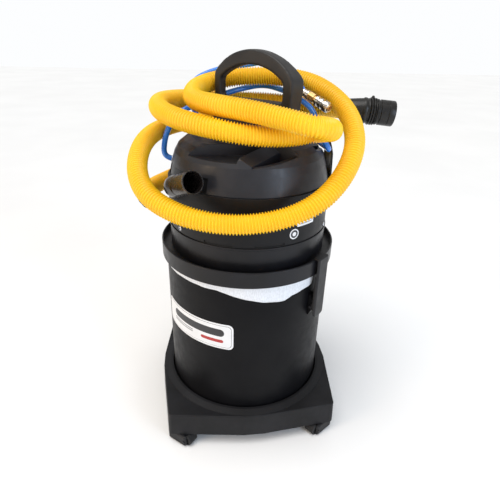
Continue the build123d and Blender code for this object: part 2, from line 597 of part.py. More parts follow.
def make_cuff():
    """The bent cuff at the machine end, its grip ring and the sleeve that plugs into the inlet."""
    bend = FilletPolyline(*CUFF_BEND, radius=60)
    start = Plane(origin=bend @ 0, z_dir=bend % 0)
    elbow = sweep(start * Circle(25), path=bend)
    joint, end = Vector(CUFF_BEND[-1]), Vector(CUFF_END)
    along = (end - joint).normalized()

    def at(distance):
        return joint + along * distance

    elbow += rod(at(-12), at(5.8), 27) + rod(at(5), at(26), 20.95)
    elbow -= sweep(start * Circle(18.5), path=bend) + rod(at(-13), at(27), 18.5)
    nodes["cuff_elbow"] = elbow
    collar = pipe(at(6), at(14), 28.3, 21) + pipe(at(16), at(19), 27.8, 21) + pipe(at(13), at(17), 26, 21)
    lug = rod(at(9) + Vector(0, 0, 26), at(13) + Vector(0, 0, 26), 6)
    nodes["cuff_ring"] = collar + lug - rod(at(5), at(20), 21)
    sleeve = pipe(at(20), at((end - joint).length), CUFF_R, CUFF_R - 3) + pipe(at(20), at(25), CUFF_R, 21)
    nodes["cuff_sleeve"] = sleeve
    last, before = Vector(SUCTION_ROUTE[-1]), Vector(SUCTION_ROUTE[-2])
    out = (last - before).normalized()
    tool = pipe(last, last + out * TOOL_CUFF_LENGTH, 21, 18) + pipe(last, last + out * 8, 22.5, 18)
    nodes["tool_cuff"] = tool


def make_coupler():
    start, end = Vector(AIR_ROUTE[-1]), Vector(COUPLER_END)
    along = (end - start).normalized()

    def at(distance):
        return start + along * distance

    length = (end - start).length
    nodes["coupler_ferrule"] = rod(at(0), at(16), 8) + rod(at(12), at(16), 9.5)
    body = rod(at(16), at(32), 10) + rod(at(32), at(length), 7.5)
    body -= rod(at(length - 22), at(length + 1), 5)
    nodes["coupler_body"] = body
    nodes["coupler_sleeve"] = pipe(at(37), at(length - 3), 11.5, 7.5 + RUN)


def build():
    nodes["trolley_base"] = make_trolley()
    for name, spot, heading in castor_spots():
        make_castor(name, spot, heading)
    nodes["drum"] = make_drum()
    make_inlet()
    nodes["collar_ring"] = make_collar()
    make_filter()
    for name, angle in LATCH_ANGLES.items():
        make_latch(name, angle)
    make_stickers()
    make_head_shells()
    make_handle()
    make_exhaust()
    make_ejector()
    make_air_fitting()
    make_hook()
    make_cover_screws()
    make_float()
    make_cuff()
    make_coupler()
    nodes["suction_hose"] = hose("suction_hose", SUCTION_ROUTE, SUCTION_D)
    nodes["air_hose"] = hose("air_hose", AIR_ROUTE, AIR_D)


build()
os.makedirs("parts", exist_ok=True)
for node, shape in nodes.items():
    export_step(shape, f"parts/{node}.step")
print(len(nodes), "nodes")
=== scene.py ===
import json
import math

import bpy
import numpy as np
from mathutils import Matrix, Vector


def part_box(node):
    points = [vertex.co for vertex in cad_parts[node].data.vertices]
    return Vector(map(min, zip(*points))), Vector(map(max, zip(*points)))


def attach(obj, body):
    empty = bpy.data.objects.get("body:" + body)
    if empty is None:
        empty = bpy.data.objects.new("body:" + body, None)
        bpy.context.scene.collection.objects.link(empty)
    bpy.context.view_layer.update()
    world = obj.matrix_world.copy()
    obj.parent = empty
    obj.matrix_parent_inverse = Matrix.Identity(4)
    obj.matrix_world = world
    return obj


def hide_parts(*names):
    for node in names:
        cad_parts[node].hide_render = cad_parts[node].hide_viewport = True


# An air-driven shop vacuum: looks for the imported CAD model. Metres, +Z up, origin on the floor
# under the middle of the drum. Every angle is about Z, in degrees, from +X.

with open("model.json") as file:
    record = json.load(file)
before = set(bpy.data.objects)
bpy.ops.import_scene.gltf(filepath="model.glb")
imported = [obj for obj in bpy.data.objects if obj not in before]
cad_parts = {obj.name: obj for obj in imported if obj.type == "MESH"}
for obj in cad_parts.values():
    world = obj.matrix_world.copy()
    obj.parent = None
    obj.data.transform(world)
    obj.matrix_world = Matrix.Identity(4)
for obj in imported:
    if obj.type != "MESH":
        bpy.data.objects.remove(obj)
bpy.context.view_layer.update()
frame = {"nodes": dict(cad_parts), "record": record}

MM = 0.001

# ---------------------------------------------------------------- sizes read from the frame

DRUM_R = (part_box("drum")[1].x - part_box("drum")[0].x) / 2
NECK_R = (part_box("head_lower_shell")[1].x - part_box("head_lower_shell")[0].x) / 2

# ---------------------------------------------------------------- hose routes

SUCTION_ROUTE = [
    (0.209, 0.009, 0.742), (0.166, 0.050, 0.742), (0.117, 0.087, 0.741), (0.059, 0.116, 0.744),
    (-0.009, 0.138, 0.744), (-0.083, 0.129, 0.747), (-0.147, 0.098, 0.751), (-0.190, 0.041, 0.752),
    (-0.187, -0.030, 0.746), (-0.148, -0.087, 0.737), (-0.090, -0.120, 0.728), (-0.024, -0.134, 0.717),
    (0.031, -0.129, 0.713), (0.074, -0.123, 0.714), (0.105, -0.119, 0.719), (0.127, -0.136, 0.725),
    (0.131, -0.165, 0.732), (0.116, -0.188, 0.739), (0.086, -0.194, 0.744), (0.043, -0.166, 0.751),
    (-0.016, -0.132, 0.760), (-0.072, -0.100, 0.764), (-0.113, -0.049, 0.765), (-0.121, 0.014, 0.770),
    (-0.106, 0.075, 0.781), (-0.046, 0.105, 0.795), (0.030, 0.100, 0.801), (0.098, 0.075, 0.801),
    (0.154, 0.020, 0.788), (0.195, -0.048, 0.750), (0.197, -0.116, 0.702), (0.164, -0.171, 0.655),
    (0.113, -0.205, 0.612), (0.050, -0.215, 0.584), (-0.025, -0.213, 0.571), (-0.100, -0.203, 0.574),
    (-0.164, -0.180, 0.588), (-0.214, -0.141, 0.610), (-0.234, -0.083, 0.643), (-0.227, -0.008, 0.675),
    (-0.198, 0.069, 0.690), (-0.134, 0.142, 0.694), (-0.048, 0.192, 0.696), (0.043, 0.193, 0.698),
    (0.111, 0.168, 0.702), (0.149, 0.132, 0.699), (0.166, 0.115, 0.677), (0.165, 0.116, 0.645),
    (0.149, 0.133, 0.623), (0.111, 0.174, 0.612), (0.055, 0.207, 0.606), (-0.019, 0.218, 0.597),
    (-0.110, 0.179, 0.579), (-0.178, 0.114, 0.564), (-0.218, 0.072, 0.557), (-0.232, 0.023, 0.556),
    (-0.222, -0.025, 0.566),
]
AIR_ROUTE = [
    (-0.168, 0.020, 0.635), (-0.179, 0.022, 0.638), (-0.185, 0.022, 0.648), (-0.184, 0.023, 0.663),
    (-0.178, 0.026, 0.688), (-0.160, 0.035, 0.722), (-0.130, 0.054, 0.738), (-0.089, 0.084, 0.748),
    (-0.049, 0.106, 0.761), (-0.004, 0.126, 0.771), (0.046, 0.127, 0.780), (0.087, 0.102, 0.771),
    (0.116, 0.059, 0.759), (0.136, 0.014, 0.743), (0.141, -0.012, 0.721), (0.146, -0.032, 0.703),
    (0.152, -0.046, 0.688), (0.160, -0.048, 0.675), (0.168, -0.034, 0.666), (0.171, -0.010, 0.664),
    (0.170, 0.018, 0.664), (0.163, 0.057, 0.667), (0.130, 0.114, 0.669), (0.074, 0.152, 0.673),
    (0.005, 0.165, 0.675), (-0.058, 0.148, 0.682), (-0.102, 0.113, 0.697), (-0.118, 0.079, 0.728),
    (-0.125, 0.077, 0.765), (-0.115, 0.106, 0.792), (-0.061, 0.121, 0.812), (-0.012, 0.134, 0.818),
    (0.029, 0.124, 0.826), (0.060, 0.094, 0.835), (0.082, 0.060, 0.827), (0.100, 0.030, 0.804),
    (0.112, 0.004, 0.778),
]
CUFF_KNEE = (0.225, 0.001, 0.743)
AIR_D = 0.012

# ---------------------------------------------------------------- materials


def new_material(name):
    material = bpy.data.materials.new(name)
    material.use_nodes = True
    tree = material.node_tree
    tree.nodes.clear()
    shader = tree.nodes.new("ShaderNodeBsdfPrincipled")
    output = tree.nodes.new("ShaderNodeOutputMaterial")
    tree.links.new(shader.outputs["BSDF"], output.inputs["Surface"])
    return material, tree, shader


def object_noise(tree, scale, detail=3.0, stretch=(1, 1, 1)):
    """Noise in the object's own coordinates; scale is features per metre."""
    place = tree.nodes.new("ShaderNodeTexCoord")
    mapping = tree.nodes.new("ShaderNodeMapping")
    mapping.inputs["Scale"].default_value = stretch
    noise = tree.nodes.new("ShaderNodeTexNoise")
    noise.inputs["Scale"].default_value = scale
    noise.inputs["Detail"].default_value = detail
    tree.links.new(place.outputs["Object"], mapping.inputs["Vector"])
    tree.links.new(mapping.outputs["Vector"], noise.inputs["Vector"])
    return noise.outputs["Fac"]


def ranged(tree, value, low, high, start=0.3, end=0.7):
    node = tree.nodes.new("ShaderNodeMapRange")
    node.inputs["From Min"].default_value = start
    node.inputs["From Max"].default_value = end
    node.inputs["To Min"].default_value = low
    node.inputs["To Max"].default_value = high
    tree.links.new(value, node.inputs["Value"])
    return node.outputs["Result"]


def two_tone(tree, value, first, second, start=0.35, end=0.65):
    ramp = tree.nodes.new("ShaderNodeValToRGB")
    ramp.color_ramp.elements[0].position = start
    ramp.color_ramp.elements[1].position = end
    ramp.color_ramp.elements[0].color = (*first, 1)
    ramp.color_ramp.elements[1].color = (*second, 1)
    tree.links.new(value, ramp.inputs["Fac"])
    return ramp.outputs["Color"]


def bumped(tree, shader, height, distance, strength=1.0, rounding=0.0):
    bump = tree.nodes.new("ShaderNodeBump")
    bump.inputs["Distance"].default_value = distance
    bump.inputs["Strength"].default_value = strength
    tree.links.new(height, bump.inputs["Height"])
    if rounding:
        bevel = tree.nodes.new("ShaderNodeBevel")
        bevel.samples = 4
        bevel.inputs["Radius"].default_value = rounding
        tree.links.new(bevel.outputs["Normal"], bump.inputs["Normal"])
    tree.links.new(bump.outputs["Normal"], shader.inputs["Normal"])


def moulded(name, colour, second, roughness, grain=900.0, depth=0.00012, specular=0.3, rounding=0.0012):
    """Moulded plastic: fine grain, faint cloudy tone and uneven gloss."""
    material, tree, shader = new_material(name)
    tree.links.new(two_tone(tree, object_noise(tree, 14), colour, second), shader.inputs["Base Color"])
    gloss = ranged(tree, object_noise(tree, 60, 6), roughness - 0.06, roughness + 0.07)
    tree.links.new(gloss, shader.inputs["Roughness"])
    shader.inputs["Specular IOR Level"].default_value = specular
    bumped(tree, shader, object_noise(tree, grain, 2), depth, 0.6, rounding)
    return material


def rubber(name, colour, roughness):
    material, tree, shader = new_material(name)
    lighter = tuple(c * 1.7 + 0.004 for c in colour)
    tone = two_tone(tree, object_noise(tree, 40, 5), colour, lighter, 0.4, 0.75)
    tree.links.new(tone, shader.inputs["Base Color"])
    gloss = ranged(tree, object_noise(tree, 120, 4), roughness - 0.08, roughness + 0.1)
    tree.links.new(gloss, shader.inputs["Roughness"])
    shader.inputs["Specular IOR Level"].default_value = 0.35
    bumped(tree, shader, object_noise(tree, 700, 3), 0.00015, 0.7, 0.0008)
    return material


def metal(name, colour, roughness, stretch=(1, 1, 30)):
    """Plated or brushed metal with fine scratches and uneven gloss."""
    material, tree, shader = new_material(name)
    darker = tuple(c * 0.8 for c in colour)
    tree.links.new(two_tone(tree, object_noise(tree, 90, 4), darker, colour), shader.inputs["Base Color"])
    gloss = ranged(tree, object_noise(tree, 300, 5, stretch), roughness - 0.08, roughness + 0.12)
    tree.links.new(gloss, shader.inputs["Roughness"])
    shader.inputs["Metallic"].default_value = 1.0
    bumped(tree, shader, object_noise(tree, 500, 4, stretch), 0.00004, 0.5, 0.0005)
    return material


def cloth(name, colour):
    """Non-woven felt: a soft white with matted fibres and an embossed point grid."""
    material, tree, shader = new_material(name)
    shade = tuple(c * 0.86 for c in colour)
    fibres = object_noise(tree, 500, 6, (1, 1, 0.35))
    tree.links.new(two_tone(tree, fibres, shade, colour, 0.35, 0.6), shader.inputs["Base Color"])
    shader.inputs["Roughness"].default_value = 0.9
    shader.inputs["Sheen Weight"].default_value = 0.3
    place = tree.nodes.new("ShaderNodeTexCoord")
    dots = tree.nodes.new("ShaderNodeTexVoronoi")
    dots.inputs["Scale"].default_value = 420
    dots.inputs["Randomness"].default_value = 0.25
    tree.links.new(place.outputs["Object"], dots.inputs["Vector"])
    bumped(tree, shader, dots.outputs["Distance"], 0.0005, 0.8)
    return material


def film(name, colour, roughness=0.35):
    """Printed label film with a faint orange peel."""
    material, tree, shader = new_material(name)
    duller = tuple(c * 0.93 for c in colour)
    tree.links.new(two_tone(tree, object_noise(tree, 25), duller, colour), shader.inputs["Base Color"])
    shader.inputs["Roughness"].default_value = roughness
    bumped(tree, shader, object_noise(tree, 350, 2), 0.00005, 0.4)
    return material


def hose_yellow():
    """Soft yellow hose plastic, deeper and dustier in patches, with a faint waxy sheen."""
    material, tree, shader = new_material("suction_hose_yellow")
    tone = two_tone(tree, object_noise(tree, 9, 4), (0.95, 0.55, 0.010), (0.98, 0.61, 0.016), 0.35, 0.65)
    tree.links.new(tone, shader.inputs["Base Color"])
    gloss = ranged(tree, object_noise(tree, 130, 5), 0.34, 0.48)
    tree.links.new(gloss, shader.inputs["Roughness"])
    shader.inputs["Subsurface Weight"].default_value = 0.08
    shader.inputs["Subsurface Radius"].default_value = (0.004, 0.002, 0.0005)
    bumped(tree, shader, object_noise(tree, 1100, 2), 0.00008, 0.4)
    return material


def hose_blue():
    """Glossy blue air hose, faintly mottled, with a clear coat."""
    material, tree, shader = new_material("air_hose_blue")
    tone = two_tone(tree, object_noise(tree, 35, 4), (0.022, 0.20, 0.80), (0.035, 0.27, 0.92))
    tree.links.new(tone, shader.inputs["Base Color"])
    gloss = ranged(tree, object_noise(tree, 150, 5), 0.22, 0.36)
    tree.links.new(gloss, shader.inputs["Roughness"])
    shader.inputs["Coat Weight"].default_value = 0.3
    bumped(tree, shader, object_noise(tree, 600, 2), 0.00005, 0.4)
    return material


BLACK = (0.0075, 0.0075, 0.0085)
BLACK_2 = (0.0125, 0.0125, 0.0145)
MATERIALS = {
    "trolley_plastic": moulded("trolley_plastic", (0.009, 0.009, 0.010), (0.014, 0.014, 0.016), 0.5,
                               specular=0.2),
    "castor_plastic": moulded("castor_plastic", BLACK, BLACK_2, 0.55),
    "wheel_rubber": rubber("wheel_rubber", (0.012, 0.012, 0.013), 0.6),
    "steel": metal("zinc_plated_steel", (0.62, 0.63, 0.66), 0.3),
    "drum_plastic": moulded("drum_plastic", (0.004, 0.004, 0.005), (0.006, 0.006, 0.007), 0.4,
                            specular=0.11),
    "collar_plastic": moulded("collar_plastic", BLACK, (0.010, 0.010, 0.013), 0.34, specular=0.27),
    "latch_plastic": moulded("latch_plastic", BLACK, BLACK_2, 0.42),
    "filter_cloth": cloth("filter_cloth", (0.80, 0.83, 0.88)),
    "seal_rubber": rubber("seal_rubber", (0.010, 0.010, 0.010), 0.7),
    "label_film": film("label_film", (0.80, 0.82, 0.85)),
    "badge_film": film("badge_film", (0.82, 0.84, 0.87)),
    "head_plastic": moulded("head_plastic", (0.006, 0.006, 0.007), (0.009, 0.009, 0.010), 0.38,
                            specular=0.2),
    "cover_plastic": moulded("cover_plastic", (0.012, 0.012, 0.015), (0.019, 0.019, 0.024), 0.4,
                             specular=0.4),
    "handle_plastic": moulded("handle_plastic", (0.016, 0.015, 0.015), (0.024, 0.022, 0.021), 0.42,
                              specular=0.35),
    "elbow_plastic": moulded("elbow_plastic", (0.012, 0.010, 0.010), (0.018, 0.014, 0.013), 0.24, 300,
                             0.00005, 0.5),
    "cast_metal": metal("cast_aluminium", (0.58, 0.59, 0.61), 0.45, (1, 1, 1)),
    "foam": rubber("silencer_foam", (0.02, 0.02, 0.02), 0.9),
    "suction_hose_plastic": hose_yellow(),
    "air_hose_plastic": hose_blue(),
    "cuff_rubber": rubber("cuff_rubber", (0.010, 0.009, 0.008), 0.34),
    "nickel": metal("nickel_plate", (0.70, 0.66, 0.60), 0.24),
    "float_plastic": moulded("float_plastic", (0.55, 0.56, 0.58), (0.62, 0.63, 0.65), 0.45),
}
BRASS = metal("brass", (0.78, 0.52, 0.22), 0.28, (1, 1, 1))
INK_DARK = film("ink_charcoal", (0.025, 0.026, 0.03), 0.4)
INK_GREY = film("ink_grey", (0.32, 0.33, 0.35), 0.4)
INK_RED = film("ink_red", (0.42, 0.03, 0.03), 0.4)

DARK_STEEL = metal("blackened_steel", (0.045, 0.045, 0.05), 0.45, (1, 1, 1))

for part in frame["record"]["subparts"]:
    node = frame["nodes"][part["node"]]
    node.data.materials.clear()
    dark = part["node"].endswith(("_axle", "_pin"))
    node.data.materials.append(DARK_STEEL if dark else MATERIALS[part["material_slot"]])

# ---------------------------------------------------------------- mesh helpers


def make_piece(name, verts, faces, slot, body, replaced=(), material=None, smooth_angle=35.0):
    """A mesh object on a CAD body, shaded smooth except across sharp edges."""
    mesh = bpy.data.meshes.new(name)
    mesh.from_pydata([tuple(v) for v in verts], [], faces)
    mesh.validate()
    obj = bpy.data.objects.new(name, mesh)
    bpy.context.scene.collection.objects.link(obj)
    mesh.materials.append(material or MATERIALS[slot])
    mesh.shade_smooth()
    mesh.set_sharp_from_angle(angle=math.radians(smooth_angle))
    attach(obj, body)
    if replaced:
        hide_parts(*replaced)
    return obj


def polar(radius, angle, z=0.0):
    a = math.radians(angle)
    return Vector((radius * math.cos(a), radius * math.sin(a), z))


def lathe(name, start, direction, profile, slot, body, replaced=(), segments=64, closed=True, **extra):
    """Turns a profile of (distance along the axis, radius) about an axis from start."""
    turn = Vector(direction).normalized().to_track_quat("Z", "X").to_matrix()
    verts = []
    for along, radius in profile:
        for k in range(segments):
            a = 2 * math.pi * k / segments
            spot = Vector((radius * math.cos(a), radius * math.sin(a), along))
            verts.append(Vector(start) + turn @ spot)
    rings = len(profile)
    faces = []
    for i in range(rings if closed else rings - 1):
        j = (i + 1) % rings
        for k in range(segments):
            n = (k + 1) % segments
            faces.append((i * segments + k, i * segments + n, j * segments + n, j * segments + k))
    return make_piece(name, verts, faces, slot, body, replaced, **extra)


def softened(name, node, voxel, rounds, slot, body):
    """A CAD piece's own form with its edges rounded: remeshed, then smoothed."""
    mesh = frame["nodes"][node].data.copy()
    obj = bpy.data.objects.new(name, mesh)
    bpy.context.scene.collection.objects.link(obj)
    remesh = obj.modifiers.new("remesh", "REMESH")
    remesh.mode = "VOXEL"
    remesh.voxel_size = voxel
    smooth = obj.modifiers.new("smooth", "SMOOTH")
    smooth.factor = 0.5
    smooth.iterations = rounds
    baked = bpy.data.meshes.new_from_object(obj.evaluated_get(bpy.context.evaluated_depsgraph_get()))
    obj.modifiers.clear()
    obj.data = baked
    bpy.data.meshes.remove(mesh)
    baked.name = name
    baked.materials.clear()
    baked.materials.append(MATERIALS[slot])
    baked.shade_smooth()
    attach(obj, body)
    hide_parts(node)
    return obj


def swept_wall(name, line, outer, inner, slot, body, replaced=(), segments=64):
    """A tube wall along a line; the radii run from one end to the other."""
    line = np.array([tuple(p) for p in line])
    sides, ups = carried_frames(line)
    angle = 2 * np.pi * np.arange(segments)[:, None] / segments
    rows = list(enumerate(outer)) + list(reversed(list(enumerate(inner))))
    verts = np.concatenate([
        line[i] + (sides[i] * np.cos(angle) + ups[i] * np.sin(angle)) * r for i, r in rows
    ])
    faces = []
    for i in range(len(rows)):
        j = (i + 1) % len(rows)
        for k in range(segments):
            n = (k + 1) % segments
            faces.append((i * segments + k, j * segments + k, j * segments + n, i * segments + n))
    return make_piece(name, verts, faces, slot, body, replaced)


def bent_line(start, corner, end, radius, step=0.0015):
    """Points along two straight runs joined by an arc."""
    start, corner, end = Vector(start), Vector(corner), Vector(end)
    first, second = (corner - start).normalized(), (end - corner).normalized()
    turn = first.angle(second)
    trim = radius * math.tan(turn / 2)
    inward = (second - first * first.dot(second)).normalized()
    centre = corner - first * trim + inward * radius
    bend_start, bend_end = corner - first * trim, corner + second * trim
    points = evenly(start, bend_start, step)
    for t in np.linspace(0, turn, max(4, int(radius * turn / step)))[1:-1]:
        points.append(centre - inward * radius * math.cos(t) + first * radius * math.sin(t))
    return points + evenly(bend_end, end, step)


def evenly(start, end, step):
    """Points a step apart along a straight run, with both its ends."""
    return [start.lerp(end, t) for t in np.linspace(0, 1, max(2, int((end - start).length / step)))]


def joint_facts(name):
    """A joint's point and axis from the record."""
    joint = next(j for j in frame["record"]["behaviour"]["joints"] if j["name"] == name)
    return Vector(joint["pos_m"]), Vector(joint["axis"]).normalized()


def mount_facts(name):
    mount = next(m for m in frame["record"]["mounts"] if m["name"] == name)
    return Vector(mount["pos_m"]), Vector(mount["axis"]).normalized()


def in_mm(profile):
    return [(along * MM, radius * MM) for along, radius in profile]


# ---------------------------------------------------------------- hoses


def nurbs_route(name, points):
    curve = bpy.data.curves.new(name, "CURVE")
    curve.dimensions = "3D"
    curve.resolution_u = 16
    spline = curve.splines.new("NURBS")
    spline.points.add(len(points) - 1)
    for point, place in zip(spline.points, points):
        point.co = (*place, 1)
    spline.order_u = 3
    spline.use_endpoint_u = True
    obj = bpy.data.objects.new(name, curve)
    bpy.context.scene.collection.objects.link(obj)
    return obj


def centre_line(route):
    """The points of a route's NURBS line."""
    mesh = bpy.data.meshes.new_from_object(route)
    line = np.array([v.co for v in mesh.vertices])
    bpy.data.meshes.remove(mesh)
    apart = np.linalg.norm(np.diff(line, axis=0), axis=1) > 1e-6
    return line[np.concatenate([[True], apart])]


def carried_frames(line):
    """Side vectors along a line that turn with it and don't twist."""
    ahead = np.gradient(line, axis=0)
    ahead /= np.linalg.norm(ahead, axis=1)[:, None]
    side = np.cross(ahead[0], (0, 0, 1.0))
    sides = []
    for direction in ahead:
        side = side - direction * (side @ direction)
        side /= np.linalg.norm(side)
        sides.append(side)
    sides = np.array(sides)
    return sides, np.cross(ahead, sides)


def corrugated_hose(name, points, body):
    """A hose with one rib that winds round it; its rows climb one pitch in each turn."""
    pitch, around = 5.8 * MM, 36
    rib = (20.0, 19.6, 18.2, 17.0, 16.6, 16.7, 17.5, 19.0)  # one pitch of the wall, in millimetres
    route = nurbs_route(name + "_route", points)
    line = centre_line(route)
    bpy.data.objects.remove(route)
    run = np.concatenate([[0], np.cumsum(np.linalg.norm(np.diff(line, axis=0), axis=1))])
    sides, ups = carried_frames(line)
    step = pitch / len(rib)
    rows = int(run[-1] / step) - len(rib)
    verts = []
    for i in range(rows):
        along = (i + len(rib) * np.arange(around) / around) * step
        place, side, up = (
            np.stack([np.interp(along, run, table[:, c]) for c in range(3)], 1) for table in (line, sides, ups)
        )
        angle = 2 * np.pi * np.arange(around)[:, None] / around
        verts.append(place + (side * np.cos(angle) + up * np.sin(angle)) * rib[i % len(rib)] * MM)
    verts = np.concatenate(verts)
    faces = []
    for i in range(rows - 1):
        for k in range(around - 1):
            a = i * around + k
            faces.append((a, a + 1, a + 1 + around, a + around))
        a = i * around + around - 1
        b = (i + len(rib)) * around
        if i + len(rib) + 1 < rows:
            faces.append((a, b, b + around, a + around))
    hose = make_piece(name, verts, faces, "suction_hose_plastic", body, ["suction_hose"], smooth_angle=180)
    return hose, line


def plain_hose(name, points, diameter, slot, body, node):
    hose = nurbs_route(name, points)
    hose.data.bevel_depth = diameter / 2
    hose.data.bevel_resolution = 6
    hose.data.use_fill_caps = True
    hose.data.materials.append(MATERIALS[slot])
    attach(hose, body)
    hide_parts(node)
    return hose


suction_hose, suction_line = corrugated_hose("suction_hose_corrugated", SUCTION_ROUTE, "head")
air_hose = plain_hose("air_hose_blue", AIR_ROUTE, AIR_D, "air_hose_plastic", "head", "air_hose")

# ---------------------------------------------------------------- cuffs on the suction hose


def machine_cuff():
    """The bent cuff, its turning ring with a lug, and the sleeve that plugs into the inlet."""
    joint, along = joint_facts("cuff_turn")
    hose_end, knee = Vector(SUCTION_ROUTE[0]), Vector(CUFF_KNEE)
    middle = knee.lerp(joint, 0.6)
    line = bent_line(hose_end, knee, middle, 60 * MM)
    line += bent_line(middle, joint, joint + along * 5.8 * MM, 60 * MM)[1:]
    run = np.linspace(0, 1, len(line))
    outer = np.interp(run, (0, 0.05, 0.1, 0.3, 0.6, 0.74, 0.77, 0.86, 0.88, 0.98, 1),
                      np.array((22.4, 23.8, 23.2, 23.6, 24.8, 25.0, 26.9, 26.9, 25.4, 26.2, 24.8)) * MM)
    inner = np.full(len(line), 18.5 * MM)
    swept_wall("cuff_elbow_moulded", line, outer, inner, "cuff_rubber", "head", ["cuff_elbow"])
    ring = in_mm([(6, 21.2), (6, 27.2), (6.8, 28.2), (8.6, 28.2), (9.4, 25.6), (11.0, 25.4), (11.8, 28.0),
                  (14, 28.2), (14.6, 25.2), (16.4, 25.0), (17, 27.4), (18.2, 27.8), (19, 27.0), (19.2, 21.2)])
    lathe("cuff_ring_grooved", joint, along, ring, "cuff_rubber", "cuff_swivel", ["cuff_ring"])
    up = (Vector((0, 0, 1)) - along * along.z).normalized()
    lug = in_mm([(0, 3.5), (5, 3.5), (8, 3.0), (9.4, 2.0), (9.8, 1.0), (9.8, 0.1), (0, 0.1)])
    foot = joint + (along * 10 + up * 22) * MM
    lathe("cuff_ring_lug", foot, up, lug, "cuff_rubber", "cuff_swivel", segments=24)
    sleeve = in_mm([(20, 21.2), (20, 25.6), (20.6, 26.4), (24, 26.5), (25, 24.6), (28, 24.4), (29, 26.2),
                    (44, 26.3), (45, 25.4), (46, 26.3), (57.6, 26.5), (58.7, 26.0), (59.2, 25.3),
                    (58.9, 23.9), (57.5, 23.5), (26, 23.5), (25, 23.3), (25, 21.2)])
    lathe("cuff_sleeve_moulded", joint, along, sleeve, "cuff_rubber", "cuff_swivel", ["cuff_sleeve"])


def tool_cuff():
    start = Vector(SUCTION_ROUTE[-1])
    along = (start - Vector(SUCTION_ROUTE[-2])).normalized()
    profile = in_mm([(0, 18), (0, 21.6), (0.8, 22.5), (3, 22.5), (3.6, 21.2), (5, 21.2), (5.6, 22.5),
                     (7.4, 22.5), (8.4, 21.0), (26, 20.6), (27, 21.0), (29, 21.0), (30, 20.5), (60.6, 20.2),
                     (61.6, 19.8),
                     (62, 19.0), (61.6, 18.2), (60.8, 18.0)])
    lathe("tool_cuff_moulded", start, along, profile, "cuff_rubber", "head", ["tool_cuff"])


def air_coupler():
    """Nickel ferrule and quick-release sleeve, with a brass nut between them."""
    start = Vector(AIR_ROUTE[-1])
    _, axis = mount_facts("air_inlet")
    ferrule = in_mm([(0, 6.4), (0, 7.4), (0.6, 8.0), (3.4, 8.0), (4, 7.3), (5.4, 7.3), (6, 8.0), (8.6, 8.0),
                     (9.2, 7.3), (10.6, 7.3), (11.2, 8.6), (12, 9.4), (15.4, 9.4), (16, 8.8), (16, 6.4)])
    lathe("coupler_ferrule_turned", start, axis, ferrule, "nickel", "head", ["coupler_ferrule"], segments=48)
    body = in_mm([(16.1, 5.2), (16.1, 9.2), (16.8, 10.0), (31.2, 10.0), (32, 9.2), (32, 7.5), (72.6, 7.5),
                  (73.4, 7.0), (73.5, 5.3), (73, 5.0), (52, 5.0)])
    nut = lathe("coupler_body_turned", start, axis, body, "nickel", "head", ["coupler_body"], segments=6 * 8,
                material=BRASS)
    hexagon(nut, start, axis, 16.4 * MM, 31.6 * MM, 10.0 * MM)
    grip = in_mm([(37.2, 7.6), (37.2, 9.0), (38.2, 10.4), (43.5, 10.4), (44.5, 8.5), (47.5, 8.5),
                  (48.5, 10.7), (54.5, 10.7), (55.5, 8.5), (58.5, 8.5), (59.5, 11.1), (68.0, 11.1),
                  (69.4, 10.2), (70.4, 8.8), (70.4, 7.6)])
    lathe("coupler_sleeve_turned", start, axis, grip, "nickel", "coupler_sleeve", ["coupler_sleeve"])


def hexagon(piece, start, axis, low, high, radius):
    """Flattens the outside of a turned piece to a hexagon between two distances."""
    turn = Vector(axis).to_track_quat("Z", "X").to_matrix()
    back = turn.inverted()
    for vertex in piece.data.vertices:
        local = back @ (vertex.co - start)
        if low < local.z < high and local.xy.length > 8 * MM:
            angle = math.atan2(local.y, local.x) % math.radians(60) - math.radians(30)
            flat = radius * math.cos(math.radians(30)) / math.cos(angle)
            local.xy = local.xy.normalized() * flat
            vertex.co = start + turn @ local


machine_cuff()
tool_cuff()
air_coupler()

# ---------------------------------------------------------------- rounded mouldings


def exhaust_elbow():
    """A glossy elbow: a push-in collar, the bend, and a straight mouth with a rolled rim."""
    near_mouth, outward = mount_facts("exhaust_outlet")
    mouth = near_mouth + outward * 10 * MM
    corner = mouth - outward * 92 * MM
    inward = Vector((-corner.x, -corner.y, 0)).normalized()
    line = bent_line(corner + inward * 55 * MM, corner, mouth, 24 * MM)
    run = np.concatenate([[0], np.cumsum([(b - a).length for a, b in zip(line, line[1:])])]) / MM
    total = run[-1]
    marks = (0, total - 62, total - 60.5, total - 52, total - 50.5, total - 4, total - 3, total - 0.8, total)
    radii = (22.0, 22.0, 22.0, 22.0, 21.2, 21.2, 22.0, 22.0, 21.2)
    outer = np.interp(run, marks, np.array(radii) * MM)
    inner = np.interp(run, (0, total - 1, total), np.array((20.0, 20.0, 20.4)) * MM)
    swept_wall("exhaust_elbow_glossy", line, outer, inner, "elbow_plastic", "head", ["exhaust_elbow"])


def castor_wheel(name):
    """A rubber tyre with a ribbed tread on a dished hub."""
    centre, axis = joint_facts(f"wheel_{name}_spin")
    half = 13.0
    profile = [(-half + 1.5, 3.06), (-half + 1.5, 5.2), (-half + 0.6, 5.5), (-half + 0.6, 6.4),
               (-half + 1.8, 6.8), (-half + 1.8, 10.8), (-half, 11.2), (-half, 13.2), (-half + 0.5, 14.2),
               (-half + 1.6, 15.0)]
    tread = []
    for k in range(7):
        left = -half + 2.4 + 3.0 * k
        tread += [(left, 15.0), (left + 0.4, 14.1), (left + 1.0, 14.1), (left + 1.4, 15.0)]
    ends = [(-along, radius) for along, radius in reversed(profile)]
    lathe(f"castor_{name}_tyre", centre, axis, in_mm(profile + tread + ends), "wheel_rubber", f"wheel_{name}",
          [f"castor_{name}_wheel"], segments=72)


